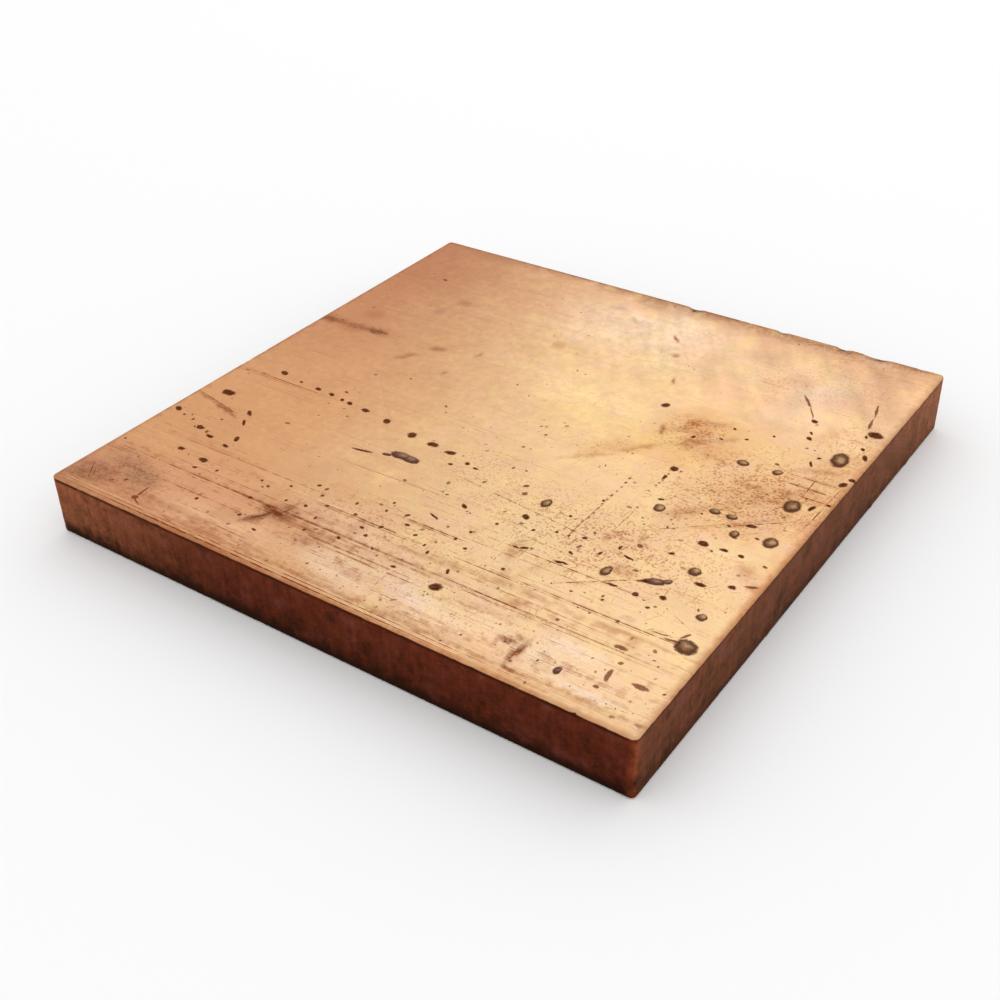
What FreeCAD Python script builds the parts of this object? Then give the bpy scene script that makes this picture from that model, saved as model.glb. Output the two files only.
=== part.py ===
"""A square blank of thick copper sheet, in millimetres.

The blank is one solid piece. Its two large faces are as rolled, and its four
sides are saw cuts. The corners are slightly rounded, and every sharp edge round
the two large faces is broken by hand with a file.

The origin is the middle of the lower face, X and Y run along the sides, and Z
points up through the thickness.
"""
import FreeCAD
import Part

import os

# Driving dimensions
LENGTH = 100.0  # along X, the way the metal was rolled
WIDTH = 100.0  # along Y
THICKNESS = 10.0
CORNER_RADIUS = 0.8  # on the four upright corners
UPPER_EDGE_BREAK = 0.35  # round the upper face
LOWER_EDGE_BREAK = 0.45  # round the lower face

ON_PLANE = 1e-6  # how near to a plane an edge has to lie to count as in it


def upright_edges(solid):
    """The edges that run through the thickness."""
    return [e for e in solid.Edges if e.BoundBox.ZLength > ON_PLANE]


def rim_edges(solid, height):
    """The edges of the outline that lies flat at this height."""
    return [
        e for e in solid.Edges
        if abs(e.BoundBox.ZMin - height) < ON_PLANE and abs(e.BoundBox.ZMax - height) < ON_PLANE
    ]


def sawn_blank():
    """The square block as it leaves the saw."""
    corner = FreeCAD.Vector(-LENGTH / 2, -WIDTH / 2, 0)
    return Part.makeBox(LENGTH, WIDTH, THICKNESS, corner)


def copper_sheet():
    """The finished blank, with its corners rounded and its edges broken."""
    blank = sawn_blank()
    blank = blank.makeFillet(CORNER_RADIUS, upright_edges(blank))
    blank = blank.makeFillet(UPPER_EDGE_BREAK, rim_edges(blank, THICKNESS))
    return blank.makeFillet(LOWER_EDGE_BREAK, rim_edges(blank, 0.0))


def main():
    os.makedirs("parts", exist_ok=True)
    copper_sheet().exportStep("parts/copper_sheet.step")


main()
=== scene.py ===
"""A worn square blank of thick rolled copper sheet, on a plain pale floor.

The two large faces are as rolled: satin copper, clouded with tarnished patches and painted light,
scratched along the rolling direction and spotted with dried drops. The four sides are saw cuts that
have gone dark brown, made darker still with painted shade. The sharp edges have been filed, and knocked here
and there.
"""

import math
import random

import bmesh
import bpy
import numpy as np
from bpy.props import FloatProperty, FloatVectorProperty, IntProperty, PointerProperty
from mathutils import Matrix, Vector, noise


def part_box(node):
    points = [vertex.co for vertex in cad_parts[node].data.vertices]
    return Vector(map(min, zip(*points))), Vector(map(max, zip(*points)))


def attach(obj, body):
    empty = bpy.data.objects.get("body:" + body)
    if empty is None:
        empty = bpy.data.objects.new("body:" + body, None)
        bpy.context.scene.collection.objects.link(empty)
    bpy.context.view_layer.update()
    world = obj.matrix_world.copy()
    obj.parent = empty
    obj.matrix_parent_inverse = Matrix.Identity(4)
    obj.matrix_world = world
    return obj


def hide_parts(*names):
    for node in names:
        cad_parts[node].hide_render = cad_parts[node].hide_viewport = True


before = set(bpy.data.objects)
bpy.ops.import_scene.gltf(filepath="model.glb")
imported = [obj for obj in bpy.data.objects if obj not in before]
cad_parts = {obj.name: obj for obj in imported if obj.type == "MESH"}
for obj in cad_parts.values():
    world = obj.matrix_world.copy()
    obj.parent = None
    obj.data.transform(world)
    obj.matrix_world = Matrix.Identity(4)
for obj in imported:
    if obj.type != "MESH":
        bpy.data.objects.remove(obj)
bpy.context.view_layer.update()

bl_info = {
    "name": "Copper sheet",
    "version": (1, 0, 0),
    "blender": (4, 5, 0),
    "location": "View3D > Sidebar > Copper sheet",
    "description": "Makes a worn square blank of thick copper sheet and a plain stage for it",
    "category": "Add Mesh",
}

NODE = "copper_sheet"
MM = 0.001
LOW, HIGH = (Vector(corner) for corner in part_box(NODE))
LENGTH, WIDTH, THICKNESS = (side / MM for side in HIGH - LOW)
FOOT = Vector(((LOW.x + HIGH.x) / 2, (LOW.y + HIGH.y) / 2, LOW.z))


def shade(code):
    """A colour as the shader wants it, from the six-figure code that a colour chart gives."""
    channels = [int(code[i:i + 2], 16) / 255 for i in (0, 2, 4)]
    return tuple(c / 12.92 if c <= 0.04045 else ((c + 0.055) / 1.055) ** 2.4 for c in channels)


def length_setting(name, description, millimetres):
    return FloatProperty(
        name=name, description=description, default=millimetres * MM, min=0, precision=5, unit="LENGTH")


def angle_setting(name, description, degrees):
    return FloatProperty(name=name, description=description, default=math.radians(degrees), subtype="ANGLE")


def colour_setting(name, description, code):
    return FloatVectorProperty(
        name=name, description=description, default=shade(code), min=0, max=1, size=3, subtype="COLOR")


# ------------------------------------------------------------------ settings


class SheetShape(bpy.types.PropertyGroup):
    """Sizes of the blank's edges and of the wear on it."""

    corner_radius: length_setting("Corner radius", "Radius of the four upright corners", 0.8)
    upper_break: length_setting("Upper edge break", "Radius filed on the edges of the upper face", 0.35)
    lower_break: length_setting("Lower edge break", "Radius filed on the edges of the lower face", 0.45)
    cell: length_setting("Cell", "Spacing of the first cuts through the mesh", 2.1)
    cell_cuts: IntProperty(name="Cell cuts", description="Finer cuts in each cell", default=4, min=0)
    wave: length_setting("Wave", "How far the rolled face is out of flat", 0.02)
    edge_wear: length_setting("Edge wear", "How unevenly the edges were filed", 0.03)
    saw_ripple: length_setting("Saw ripple", "Depth of the saw's ripple on the sides", 0.02)
    knocks: IntProperty(name="Knocks", description="Small knocks along the edges", default=44, min=0)
    seed: IntProperty(name="Seed", description="Another number gives other small knocks", default=11)


class RolledFinish(bpy.types.PropertyGroup):
    """Colours of the two rolled faces."""

    # Straw against tan and rose is partly the metal's own tone and partly painted light: a painted
    # reflection brightening the middle and right, painted shade on the left.
    straw: colour_setting("Straw", "Bright metal in the middle and on the right", "eac596")
    gold: colour_setting("Gold", "Yellow patches of the bright metal", "efd298")
    blush: colour_setting("Blush", "Pink patches of the bright metal", "eac2a4")
    tan: colour_setting("Tan", "Dull metal on the left", "dba578")
    rose: colour_setting("Rose", "Duller, redder metal at the far left", "be8467")
    spot: colour_setting("Spot", "Solid dried spots", "5a2410")
    rust: colour_setting("Rust", "Red spots and runs", "7c3018")
    slate: colour_setting("Slate", "Inside the large dark blots", "7a5850")
    drop_rim: colour_setting("Drop rim", "The dark ring of a dried drop", "4a2116")
    drop_middle: colour_setting("Drop middle", "Inside the ring of a dried drop", "8e6a48")
    # painted highlight: the pale glint near the far side of each dried drop, fainter on the dark blots
    glint: colour_setting("Glint", "The top of a dried drop", "cdae84")
    groove: colour_setting("Groove", "Tarnish in the scratches", "82431f")
    gleam: colour_setting("Gleam", "Fresh metal in the scratches", "fbdcae")
    speck: colour_setting("Speck", "Pepper of tiny pits", "6a3418")
    grit: colour_setting("Grit", "Red brown grains in the rubbed and splashed parts", "965028")
    rim: colour_setting("Rim", "Brown along the rims of the rolled faces", "a8623a")
    roughness: FloatProperty(name="Roughness", description="Of clean metal", default=0.34, min=0, max=1)


class SawnFinish(bpy.types.PropertyGroup):
    """Colours of the four sawn sides."""

    # Both browns are partly oxide and partly a painted dark reflection, darker than the pale floor that the
    # sides mirror.
    red: colour_setting("Red brown", "Oxide on the sides cut across the rolling direction", "5c2415")
    brown: colour_setting("Brown", "Oxide on the sides cut along the rolling direction", "6e3c2a")
    light: colour_setting("Light brown", "Thin oxide towards two of the corners", "91563a")
    plum: colour_setting("Plum", "Cold patches in the oxide", "5a3a38")
    # dark along the foot as dirt and as painted shade; also the pits and smudges
    dirt_and_shade: colour_setting("Dirt", "Black dirt along the foot of the sides", "26130d")
    # painted shade: the dark line under the upper edge
    painted_shade_line: colour_setting("Burnt edge", "The dark line under the upper edge", "3a1406")
    # bare metal with a painted highlight on the upright corners
    arris_and_highlight: colour_setting("Arris", "Bare metal along the filed edges", "b5562a")
    roughness: FloatProperty(name="Roughness", description="Of the sawn sides", default=0.46, min=0, max=1)


class StudioSettings(bpy.types.PropertyGroup):
    """The floor, the light and the camera."""

    floor: colour_setting("Floor", "Colour of the floor", "fafafa")
    floor_reach: length_setting("Floor reach", "From the middle of the floor to its edge", 4000)
    sky: FloatProperty(name="Sky", description="Strength of the light from all round", default=1.0, min=0)
    softbox: FloatProperty(name="Softbox", description="Brightness of the softbox", default=0.3, min=0)
    lens: FloatProperty(name="Lens", description="Focal length in millimetres", default=49.0, min=1)
    distance: length_setting("Distance", "From the camera to what it looks at", 212)
    azimuth: angle_setting("Azimuth", "Round from the near side", 35.5)
    elevation: angle_setting("Elevation", "Up from the floor", 34.5)
    roll: angle_setting("Roll", "Turn about the line of sight", -1.4)
    aim: FloatVectorProperty(name="Aim", description="Where the camera looks, from the middle of the foot",
                             default=(1.2 * MM, -7.1 * MM, 0), size=3, subtype="TRANSLATION", unit="LENGTH")


# ------------------------------------------------------------------ the blank's mesh

# Chips out of the far upper edge: where along it, half length and depth, in millimetres
FAR_CHIPS = ((4.7, 1.7, 0.40), (21.5, 1.2, 0.25), (32.7, 1.5, 0.40), (38.4, 2.9, 0.42))
NEAR_CHIPS = ((41.6, 0.6, 0.25), (-28.0, 0.9, 0.08), (12.4, 1.2, 0.08))
# The saw's middle: how far along from the middle of the foot, and how far below it
SAW_ALONG, SAW_BELOW = 20, 110
# Where the lower right edge was never filed, and still stands sharp
RIGHT_BURRS = ((22.1, 0.9, -0.17), (36.6, 1.3, -0.17), (-14.0, 0.7, -0.14))


def sawn_block(shape):
    """The block with its corners rounded and its edges broken."""
    bm = bmesh.new()
    bmesh.ops.create_cube(bm, size=1)
    bmesh.ops.scale(bm, vec=HIGH - LOW, verts=bm.verts)
    bmesh.ops.translate(bm, vec=(LOW + HIGH) / 2, verts=bm.verts)
    break_edges(bm, shape.corner_radius, 6, lambda a, b: abs(a.z - b.z) > MM)
    break_edges(bm, shape.upper_break, 4, lambda a, b: min(a.z, b.z) > HIGH.z - MM / 100)
    break_edges(bm, shape.lower_break, 4, lambda a, b: max(a.z, b.z) < LOW.z + MM / 100)
    return bm


def break_edges(bm, radius, segments, wanted):
    """Rounds every edge whose two ends pass the test."""
    edges = [e for e in bm.edges if wanted(e.verts[0].co, e.verts[1].co)]
    bmesh.ops.bevel(bm, geom=edges, offset=radius, offset_type="OFFSET", affect="EDGES", segments=segments,
                    profile=0.5, material=-1, clamp_overlap=True)


def cut_into_cells(bm, shape):
    """Cuts the block into cells along its three axes, then cuts all but the lower face finer."""
    for axis in range(3):
        side = (HIGH - LOW)[axis]
        count = round(side / shape.cell)
        across = Vector((axis == 0, axis == 1, axis == 2))
        for i in range(1, count):
            bmesh.ops.bisect_plane(bm, geom=bm.verts[:] + bm.edges[:] + bm.faces[:], dist=MM / 1000,
                                   plane_co=LOW + across * side * i / count, plane_no=across)
    fine = [e for e in bm.edges if e.calc_length() > shape.cell / 2
            and max(v.co.z for v in e.verts) > LOW.z + MM / 100]
    bmesh.ops.subdivide_edges(bm, edges=fine, cuts=shape.cell_cuts, use_grid_fill=True)


def along_and_out(place, side):
    """How far along a side a place is, and how far outside the block's upright face, in millimetres."""
    x, y, z = (place - FOOT) / MM
    return {"near": (x, -y - WIDTH / 2), "far": (x, y - WIDTH / 2),
            "right": (y, x - LENGTH / 2), "left": (y, -x - LENGTH / 2)}[side]


def knock(verts, side, height, along, reach, depth, width=0.75):
    """Presses the vertices near one place on an edge inwards, or draws them out if the depth is negative."""
    for v in verts:
        s, out = along_and_out(v.co, side)
        up = (v.co.z - FOOT.z) / MM - height
        far = ((s - along) / reach) ** 2 + (out * out + up * up) / width ** 2
        if far < 1:
            v.co -= v.normal * depth * MM * (1 - far) ** 2


def edge_chips(shape):
    """Every chip, burr and knock: its side, height, place along the side, reach and depth."""
    chips = [("far", THICKNESS, *chip) for chip in FAR_CHIPS]
    chips += [("near", THICKNESS, *chip) for chip in NEAR_CHIPS]
    chips += [("right", 0, *burr) for burr in RIGHT_BURRS]
    draw = random.Random(shape.seed)
    for _ in range(shape.knocks):
        side = draw.choice(("near", "far", "right", "left"))
        height = draw.choice((0, THICKNESS))
        place = draw.uniform(-0.48, 0.48) * (LENGTH if side in ("near", "far") else WIDTH)
        chips.append((side, height, place, draw.uniform(0.4, 1.1), draw.uniform(0.02, 0.07)))
    return chips


def wear(bm, shape):
    """Moves the vertices off the true block: waves, uneven filing, the saw's ripple, chips and knocks."""
    bm.normal_update()
    rim = []
    for v in bm.verts:
        x, y, z = (v.co - FOOT) / MM
        inside = min(LENGTH / 2 - abs(x), WIDTH / 2 - abs(y))
        from_face = min(THICKNESS - z, z)
        sunk = 0
        if inside > 0.5:
            sunk = shape.wave * (0.5 + 0.5 * noise.noise(Vector((x / 14, y / 9, z))))
        elif from_face > 0.5:
            arc = math.hypot(x + y - SAW_ALONG, z + SAW_BELOW)
            sunk = shape.saw_ripple * (0.5 + 0.5 * math.sin(arc * 3.4 + 2 * noise.noise(v.co / MM / 9)))
        corner = max(inside, from_face)
        if corner < 1.5:
            rim.append(v)
            uneven = 0.5 + 0.5 * noise.noise(Vector((x / 3.1, y / 3.1, z / 4)))
            sunk += shape.edge_wear * uneven * math.exp(-corner / 0.45)
        v.co -= v.normal * sunk
    for side, height, along, reach, depth in edge_chips(shape):
        knock(rim, side, height, along, reach, depth)


def keep_in_box(bm):
    """Stops burrs at the block's true faces."""
    for v in bm.verts:
        v.co = Vector(min(max(v.co[i], LOW[i]), HIGH[i]) for i in range(3))


# ------------------------------------------------------------------ marks on the upper face

# A face of the mesh keeps a mark that is this near in millimetres, and without one reads as
# this many ellipses away. A dab from the clouds and stains fades out at this share of its ellipse.
MARK_MARGIN, UNMARKED, DAB_REACH = 0.7, 9.0, 1.25

# Every mark is an ellipse: its place in millimetres from the middle of the face, its half
# length and half width, and its lean in degrees from the rolling direction, if it has one.

# Dried drops with a dark ring
DROPS = (
    (45.9, 16.9, 1.95, 1.3, 95), (45.1, 2.1, 1.55, 1.2, 90), (46.3, -7.4, 1.2, 1.05, 90),
    (41.3, -8.2, 0.85, 0.65, 80), (36.6, -4.9, 0.8, 0.65, 10), (39.1, -4.8, 0.8, 0.65),
    (29.6, -8.3, 0.95, 0.75, 100), (40.7, -18.7, 0.9, 0.85), (30.9, -24.9, 1.15, 0.65, 85),
    (15.7, -16, 1.1, 0.65, 85), (45.9, -26.6, 0.75, 0.65, 90), (47, -32.7, 1.5, 1.35),
    (39.6, 8.9, 0.8, 0.65, 60), (34.3, 8.6, 0.9, 0.75, -20),
)
# Solid dried spots
SPOTS = (
    # along the right side
    (47.6, 26.3, 1.15, 0.9, 10), (48.7, 19.4, 0.8, 0.38, -55), (47.6, 21.5, 0.45, 0.28, -50),
    (46.6, 25.1, 0.5, 0.22, -70), (48.9, 11.1, 0.75, 0.5, 70), (49.5, 12.9, 0.5, 0.4),
    (47.6, 3.2, 0.75, 0.32, 80), (49.3, 5.1, 0.4, 0.3), (43.1, 15.7, 0.35, 0.25, 60),
    (42.7, 13.7, 0.8, 0.25, -65), (42.4, -5.3, 0.75, 0.4, 10), (26.5, 1.7, 0.65, 0.6),
    (26.4, -0.9, 0.65, 0.3, 100), (28.8, -6.3, 0.45, 0.25, 30), (38.2, 25.2, 0.6, 0.42, -40),
    (39.6, 20.1, 0.55, 0.38, -45), (39.2, 21.7, 0.4, 0.2, -60), (16.6, 17.1, 0.75, 0.62, 60),
    # the row below the hatching
    (38.7, -12.5, 0.85, 0.6, -15), (41.8, -12.3, 0.6, 0.38), (44.3, -12.3, 0.45, 0.35),
    (46.4, -19, 0.65, 0.38, 10), (42.6, -20.7, 0.85, 0.42), (39.9, -25.8, 0.5, 0.42, -30),
    (36.6, -27.1, 0.5, 0.42, 90), (36.3, -23.9, 0.8, 0.28, 30), (24.8, -26.6, 1.05, 0.3, 5),
    (18.9, -26.6, 0.6, 0.25, 35), (17.8, -27, 0.5, 0.16), (15.1, -20.4, 0.6, 0.42, -30),
    (6.3, -22.9, 0.6, 0.33, -35), (4.1, -27.3, 1, 0.2, -25), (14, -40, 0.9, 0.75, 20),
    (1.9, -14.2, 0.45, 0.25), (0.1, -13.7, 0.45, 0.42), (-1.9, -15.2, 0.42, 0.3),
    (20.1, -16.8, 0.3, 0.22, -40), (22.1, -11, 0.35, 0.25, 90), (29.9, -19.4, 0.5, 0.2, 95),
    (24.8, -24.1, 0.42, 0.22, -30), (31.9, -20.8, 0.9, 0.2, -15), (33, -27, 0.8, 0.22),
    (13.4, -36.5, 0.5, 0.28, -60), (7.2, -33.5, 0.3, 0.2, 80), (36.3, -16.8, 0.42, 0.28, 20),
    # the chain across the left
    (-41.7, -7.8, 0.75, 0.5, -30), (-33.3, -8.9, 0.65, 0.42, -15), (-30.4, -9, 0.62, 0.42, -30),
    (-27.8, -9.4, 0.45, 0.35, -30), (-26, -9.6, 0.55, 0.38, -30), (-22.6, -10, 0.75, 0.45, -10),
    (-17.6, -10.8, 0.7, 0.55, -35), (-11.8, -11.8, 0.8, 0.68, -60), (-7.5, -12.3, 1, 0.58),
    (-3.8, -12.7, 0.9, 0.48, 15), (-15.5, -19.4, 1.7, 0.25, 11), (-45, -17.6, 1.15, 0.8),
    (-37.5, -20.6, 0.9, 0.36, -42), (-36.2, -23.3, 0.9, 0.28, -50), (-48.1, -25.7, 0.8, 0.45, -25),
    (-41.1, -27.9, 0.75, 0.52, -15), (-38, -29, 0.8, 0.34, -10), (-33.8, -27.4, 0.75, 0.36, -62),
    (-33.8, -29.8, 0.6, 0.32, -20), (-39.1, -34, 0.62, 0.42), (-33.9, -34.5, 0.8, 0.48),
)
# Red spots and runs, thinner than the others
RUST_SPOTS = (
    (45, -32.6, 1.1, 0.22, 3), (43.2, -32.2, 1.3, 0.14, 8), (46, -30.9, 0.7, 0.22, 60),
    (35.8, -24.3, 0.7, 0.2, 10), (41.7, -42.4, 1.1, 0.34, 100), (41.5, -44.9, 0.42, 0.32),
    (46, -42.1, 1.1, 0.38, 2), (40.4, -37.2, 0.85, 0.38), (11.7, -15.7, 0.42, 0.38),
    (34.9, 30.2, 1.7, 0.27, -52), (45.1, 33, 1.9, 0.18, -76), (45.8, 29, 1.5, 0.22, -80),
    (36.9, 27.2, 1.6, 0.12, -58), (48.4, -17.6, 0.9, 0.3, 20), (31.9, -17.7, 0.55, 0.35, -30),
    (38.7, 10.9, 0.4, 0.3),
    # the star's core and its arms
    (-15.1, -38.8, 1.1, 0.4, -6), (-14.2, -37.8, 1.1, 0.12, 60), (-16.3, -40.2, 1.9, 0.16, 57),
    (-16.9, -38.4, 1, 0.12, -14),
    # by the near left corner
    (-35.2, -45.6, 1.3, 0.16, -85), (-35.1, -47.2, 0.5, 0.4), (-34.2, -47.7, 0.9, 0.12, -20),
)
# Large dark blots, dull grey inside
SLATE_BLOTS = (
    (-9.5, -17.4, 1.9, 0.85, 4), (-7.9, -17.5, 1.8, 0.85, -3), (-11.4, -18.2, 0.8, 0.4, 14),
    (37.4, -23.4, 1.5, 0.72, 24), (38.8, -22.6, 0.7, 0.55, 40), (36.1, -45, 0.42, 0.75),
)
# Small dark pits, only by their places
PITS = (
    (-20.8, -34.5), (-17.9, -32.6), (-14.5, -30.2), (-12.4, -32), (-16.1, -35.8), (-21, -38),
    (-2.6, -27.7), (-2.3, -29.9), (-2.7, -35), (-0.4, -33.4), (-9.6, -36.8), (4.7, -32.4), (6.6, -39.6),
    (12.3, -31.1), (10.8, -27.6), (34.9, 17.8), (31.8, 14.8), (24.6, 11.1), (28.5, 12.8), (28.9, 16.6),
    (-10.2, -33.6), (-7, -30.8), (-5.4, -33), (-9, -39.8), (-3.8, -38.6), (-1, -36.2), (-12.8, -35.2),
    (-22.6, -33.8), (-19.2, -42), (-15, -43.6), (2.2, -31), (0.9, -29.2), (8.6, -34.6), (9.8, -30),
    (19.2, -32), (17.6, -22.4), (20.6, -21), (24.6, -20.2), (33.6, -30.4), (28.2, -22), (12.6, -24),
    (-46, -26.5), (-43.8, -26.8), (-37.3, -8.6), (-33.6, -36.7), (-27.3, -42.5),
)
# Two dotted runs down the face: x, the first and last y, and the step between dots
DOTTED_RUNS = ((22.4, -4.0, -22.0, 1.3), (26.4, 0.0, -4.5, 0.9))

# Tarnish, haze and painted highlight in soft clouds: the tint, how strong it is, and the ellipse.
# The pale cream and yellow clouds along the band from the far middle through the middle to the right,
# and the pale creams along the near strip, are partly painted highlight.
CLOUDS = (
    ("f3d6bc", 0.9, 1, 39, 24, 14), ("efcaab", 0.75, 37, 34, 18, 18),
    ("e0b094", 0.8, 28, 48.5, 28, 4.5), ("dcac8c", 0.5, -6, 49.5, 13, 3), ("d3a080", 0.6, 46, 46, 9, 7),
    ("dba888", 0.4, -17, 47, 14, 6), ("f7d9a4", 0.8, 5, 13, 17, 6, -8), ("f4cf96", 0.6, 17, 4, 11, 7),
    ("d4905a", 0.7, 25, 13.5, 8, 6.5, 25), ("cf8c52", 0.5, 28, 8.5, 7, 4, -10),
    ("d99c62", 0.45, 17, 2, 8, 3, 48), ("d39868", 0.6, 44, 3, 11, 10),
    ("d99e6c", 0.45, 36, 1, 9, 7, 30), ("dda274", 0.45, 38, -7, 11, 6, 20),
    ("a27264", 0.8, -47, -45, 10, 8), ("bd8567", 0.65, -36, -47, 15, 4),
    ("d3997a", 0.25, -9, -47, 15, 4), ("dda283", 0.5, -26, -41, 27, 9),
    ("e6b58e", 0.25, -2, -32, 16, 9), ("b87e5c", 0.6, -44, 12, 13, 2.2),
    ("c58660", 0.35, -42.5, 17, 5, 3), ("fbd8b4", 0.75, 22, -43.5, 30, 5.5),
    ("f4d4ac", 0.4, 20, -31, 16, 4), ("f2cda4", 0.4, 40, -30, 12, 5), ("d79a70", 0.5, 49.6, 4, 2.4, 34),
    ("cf9268", 0.3, -6, -49, 50, 1.8), ("f1dcc0", 0.55, 4, 43, 6, 6),
    ("f3dcae", 0.6, 9, 29, 4.5, 6, 20), ("f3deca", 0.55, 37, 35, 9, 5, 60),
    ("f0d2b0", 0.5, 32, 24, 6, 5), ("e3b192", 0.5, 22, 45, 9, 4), ("e8bc98", 0.45, 20, 27, 8, 5, -20),
    ("dcab8c", 0.5, 43, 41, 4, 8), ("c98b6c", 0.45, 41, 23, 2.6, 3.2),
    ("d79f7c", 0.3, 30, 35, 3, 6, -30), ("e9b994", 0.3, 28, -17, 6, 4), ("edc8a8", 0.6, -4, -37, 12, 6),
    ("f0cbb0", 0.6, 6, -43, 14, 4), ("eebf9c", 0.35, -22, -45, 14, 3),
    ("f3dac0", 0.5, -1, -44.5, 5, 2.2), ("f3d9bf", 0.5, 12, -43, 5, 2.5),
    ("f4dcc0", 0.5, 33, -44, 8, 3), ("eec67c", 0.5, 20, 8, 8, 3.2), ("ecc47c", 0.4, 31, 13, 6, 3),
    ("f0ce8a", 0.4, 6, 8, 7, 4), ("f3dca8", 0.55, 18, -22, 9, 7), ("f4dfae", 0.4, 43, -12, 6, 3),
    ("f2d8a2", 0.4, 40, -32, 8, 5), ("ddb092", 0.35, 35, 44, 8, 4), ("e0b090", 0.3, 0, 46, 8, 3),
    ("cfa07c", 0.45, 34, 46.5, 18, 5), ("d2a07c", 0.45, -22, 45, 12, 5), ("ddae8a", 0.4, -6, 46, 8, 4),
    ("c98a60", 0.55, 47, 15, 4, 6), ("e2aa64", 0.5, 25, 4.5, 7, 4), ("deac84", 0.45, 26, 24, 7, 6),
    ("d3a07c", 0.5, 45, 36, 8, 12), ("dcac88", 0.4, 30, 30, 5, 4, -30),
    ("e2b290", 0.35, 14, 35, 5, 4, -50), ("dcae8c", 0.35, 20, 40, 6, 3, -20),
    ("e0b08a", 0.4, 33, 20, 4, 3), ("f2d6ae", 0.4, 24, 33, 4, 6, 30), ("f6caa0", 0.55, -20, -45, 15, 4),
    ("f6c99e", 0.6, 26, -47, 16, 2.5), ("e6b080", 0.4, 30, -49.3, 22, 1.2),
    # the dull far strip, and the warmer ground inside it
    ("8f6048", 0.9, 8, 50.6, 64, 4), ("b98464", 0.3, 12, 48.4, 56, 3.4),
    ("8c5c42", 0.5, 42, 50.4, 14, 2.6), ("d79a78", 0.35, -20, 36, 12, 7),
    ("dfa468", 0.22, 34, 14, 14, 8), ("f2c6a2", 0.35, -5, -35, 7, 4), ("8f6258", 0.4, -41, -41.5, 5, 3),
)
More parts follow.
